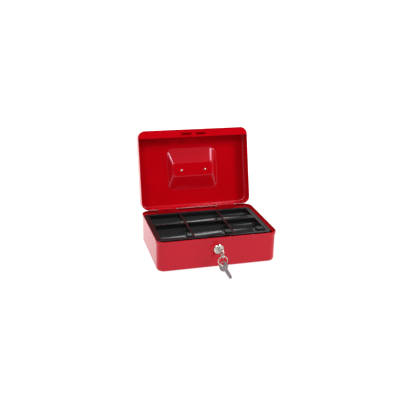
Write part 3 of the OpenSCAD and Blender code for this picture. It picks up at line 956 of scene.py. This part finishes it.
def make_lock_housing():
    """Turned housing: bevelled face ring, shallow dish, a groove round the plug and a threaded barrel."""
    face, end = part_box("lock_housing")[0].y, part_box("lock_housing")[1].y
    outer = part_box("lock_housing")[1].x
    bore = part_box("lock_plug")[1].x + LOCK_RUN_FIT
    wall = -WALL_Y
    rim = outer - LOCK_FACE_BEVEL
    groove = face + LOCK_GROOVE_DEPTH
    # From the end of the bore, out over the face and back to the wall: (y, radius, rounding)
    corners = [
        (end, bore, 0),
        (groove, bore, 0.1 * MM),
        (groove, bore + LOCK_GROOVE[0], 0.1 * MM),
        (face + LOCK_DISH[0], bore + LOCK_GROOVE[1], 0.15 * MM),
        (face + LOCK_DISH[1], rim - LOCK_RIM, 0.4 * MM),
        (face, rim - 0.5 * MM, 0.35 * MM),
        (face + 0.25 * MM, rim, 0.3 * MM),
        (face + LOCK_FACE_BEVEL + LOCK_RELIEF, outer, 0.4 * MM),
        (wall, outer, 0.15 * MM),
        (wall, LOCK_BARREL, 0),
    ]
    profile = [(p.x, p.y) for p in rounded_path(corners, 5)]
    thread_root = LOCK_BARREL - THREAD_DEPTH
    y = wall + SHEET + LOCK_RELIEF
    while y + THREAD_PITCH < end:
        profile += [
            (y, LOCK_BARREL), (y + THREAD_PITCH * 0.25, LOCK_BARREL),
            (y + THREAD_PITCH * 0.6, thread_root), (y + THREAD_PITCH * 0.8, thread_root),
        ]
        y += THREAD_PITCH
    profile.append((end, thread_root))
    bm = bmesh.new()
    lathe(bm, profile)
    place = Matrix.Translation((0, 0, Vector(joints["plug_turn"]["pos_m"]).z))
    obj = add_piece("lock", bm, materials["nickel"], "body", ["lock_housing"], place)
    even_normals(obj)


# ---- Ring and keys ----

RING_WIDTH = 1.4 * MM
RING_KINK = math.radians(40)
RING_STEPS = 150
RING_TIP = 0.25 * MM
RING_GAP = 0.03 * MM
KEY_HALF = 1 * MM
KEY_HEAD = 10 * MM
KEY_NECK = 11 * MM
KEY_LENGTH = 9 * MM
BLADE_HALF = 3.4 * MM
KEY_HOLE = 4.2 * MM
KEY_HOLE_AT = 15.2 * MM
KEY_SHOULDER = 0.2 * MM
KEY_TIP = 2.4 * MM
KEY_EDGE = 0.14 * MM
PANEL_MARGIN = 2 * MM
HOLE_MARGIN = 1.7 * MM
PANEL_DEPTH = 0.3 * MM
GROOVE_HALF = 0.6 * MM
GROOVE_DEPTH = 0.4 * MM
GROOVE_OFFSET = 0.9 * MM
GROOVE_ENDS = (2 * MM, 1.4 * MM)
# Place along the blade and depth
KEY_CUTS = ((2.6 * MM, 0.45 * MM), (4.6 * MM, 0.66 * MM), (6.6 * MM, 0.5 * MM))
SPARE_YAW = math.radians(198)
SPARE_PITCH = math.radians(-28.98)
SPARE_ROLL = math.radians(-28)
SPARE_SLIP = 1.6 * MM


def make_key_ring():
    """Split ring: two turns of flattened wire, side by side, that change places in a kink."""
    ring_low, ring_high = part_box("key_ring")
    centre = (ring_low + ring_high) / 2
    radius = (ring_high.x - ring_low.x - RING_WIDTH) / 2
    turn_thick = (ring_high.y - ring_low.y) / 2
    start, end = RING_KINK / 2, 4 * math.pi - RING_KINK / 2
    path = []
    for k in range(RING_STEPS + 1):
        angle = start + (end - start) * k / RING_STEPS
        along = min(max((angle - 2 * math.pi + RING_KINK / 2) / RING_KINK, 0), 1)
        lift = along * along * (3 - 2 * along) - 0.5
        spoke = Vector((radius * math.cos(angle), turn_thick * lift, radius * math.sin(angle)))
        path.append(centre + spoke)
    bm = bmesh.new()
    section = wire_section(RING_WIDTH, turn_thick - RING_GAP, 20, 0.5)
    sweep(bm, path, section, Vector((0, 1, 0)), RING_TIP)
    obj = add_piece("split_ring", bm, materials["nickel"], "ring", ["key_ring"])
    even_normals(obj)


def key_outline():
    """Outline of a key along Y in (y, z): round head, neck, and a cut blade whose shoulder is at 0."""
    head = (-KEY_NECK - KEY_HEAD, 0)
    meet = math.asin(BLADE_HALF / KEY_HEAD)
    outline = arc_points(head, KEY_HEAD, meet, 2 * math.pi - meet, 56)
    blade = BLADE_HALF - KEY_SHOULDER
    taper = KEY_LENGTH - KEY_TIP
    outline += [(-KEY_SHOULDER, -BLADE_HALF), (0, -blade), (taper, -blade), (KEY_LENGTH, KEY_TIP - blade)]
    outline += [(KEY_LENGTH, blade - KEY_TIP), (taper + 2 * KEY_SHOULDER, blade - 2 * KEY_SHOULDER)]
    for at, depth in reversed(KEY_CUTS):
        outline += [(at + depth, blade), (at, blade - depth), (at - depth, blade)]
    outline += [(0, blade), (-KEY_SHOULDER, BLADE_HALF)]
    return outline


def key_blank(bm):
    """One key, with a pressed panel in its head and a milled groove along each side of its blade."""
    head = (-KEY_NECK - KEY_HEAD, 0)
    hole_at = (-KEY_NECK - KEY_HOLE_AT, 0)
    hole = arc_points(hole_at, KEY_HOLE, 0, 2 * math.pi, 40)[:-1]
    panel_r, keep_r = KEY_HEAD - PANEL_MARGIN, KEY_HOLE + HOLE_MARGIN
    reach = head[0] - hole_at[0]
    on_panel = math.acos((keep_r ** 2 - panel_r ** 2 - reach ** 2) / (2 * panel_r * reach))
    on_hole = math.acos((keep_r ** 2 - panel_r ** 2 + reach ** 2) / (2 * keep_r * reach))
    panel = arc_points(head, panel_r, -on_panel, on_panel, 36)[1:-1]
    panel += arc_points(hole_at, keep_r, on_hole, -on_hole, 24)[1:-1]
    pockets = []
    for side in (-1, 1):
        pockets.append((side, PANEL_DEPTH, panel))
        z = side * GROOVE_OFFSET
        ends = (-KEY_NECK + GROOVE_ENDS[0], KEY_LENGTH - GROOVE_ENDS[1])
        groove = arc_points((ends[1], z), GROOVE_HALF, -math.pi / 2, math.pi / 2, 6)
        groove += arc_points((ends[0], z), GROOVE_HALF, math.pi / 2, 1.5 * math.pi, 6)
        pockets.append((side, GROOVE_DEPTH, groove))
    plate(bm, [key_outline(), hole], KEY_HALF, pockets)


def make_keys():
    plug = Vector(joints["plug_turn"]["pos_m"])
    hang = Vector(joints["spare_key_swing"]["pos_m"])
    to_hole = Matrix.Translation((0, KEY_NECK + KEY_HOLE_AT - SPARE_SLIP, 0))
    spare = (
        Matrix.Translation(hang) @ Matrix.Rotation(SPARE_YAW, 4, "Z")
        @ Matrix.Rotation(SPARE_PITCH, 4, "X") @ Matrix.Rotation(SPARE_ROLL, 4, "Y") @ to_hole
    )
    for name, node, body, finish, place in (
        ("lock_key", "key", "key", "bright_key", Matrix.Translation(plug)),
        ("second_key", "spare_key", "spare", "key_steel", spare),
    ):
        bm = bmesh.new()
        key_blank(bm)
        obj = add_piece(name, bm, materials[finish], body, [node], place)
        soften(obj, KEY_EDGE)
        even_normals(obj)


# ---- Carried-over CAD nodes ----

NODE_EDGE = 0.22 * MM
PLAIN_NODES = {"wafer_springs"}
FINE_NODES = {"plug_wafers": 0.08 * MM, "cam_screw": 0.12 * MM, "lock_plug": 0.18 * MM}


def finish_node(name, slot):
    """Gives a CAD node its material and rounds its sharp edges."""
    obj = frame["nodes"][name]
    obj.data.materials.clear()
    obj.data.materials.append(materials[slot])
    if name in PLAIN_NODES:
        return
    weld = obj.modifiers.new("weld", "WELD")
    weld.merge_threshold = 0.001 * MM
    merge = obj.modifiers.new("flats", "DECIMATE")
    merge.decimate_type = "DISSOLVE"
    merge.angle_limit = math.radians(0.4)
    soften(obj, FINE_NODES.get(name, NODE_EDGE))
    even_normals(obj)


make_camera()
make_world()
make_floor()
make_dark_card()
for light_values in SOFT_BOXES:
    soft_box(*light_values)
make_body()
make_lid()
make_tray()
make_strike_plate()
make_handle()
make_rivets()
make_lock_housing()
make_key_ring()
make_keys()
for subpart in frame["record"]["subparts"]:
    if not frame["nodes"][subpart["node"]].hide_render:
        finish_node(subpart["node"], subpart["material_slot"])

bpy.context.scene.view_settings.view_transform = "Standard"
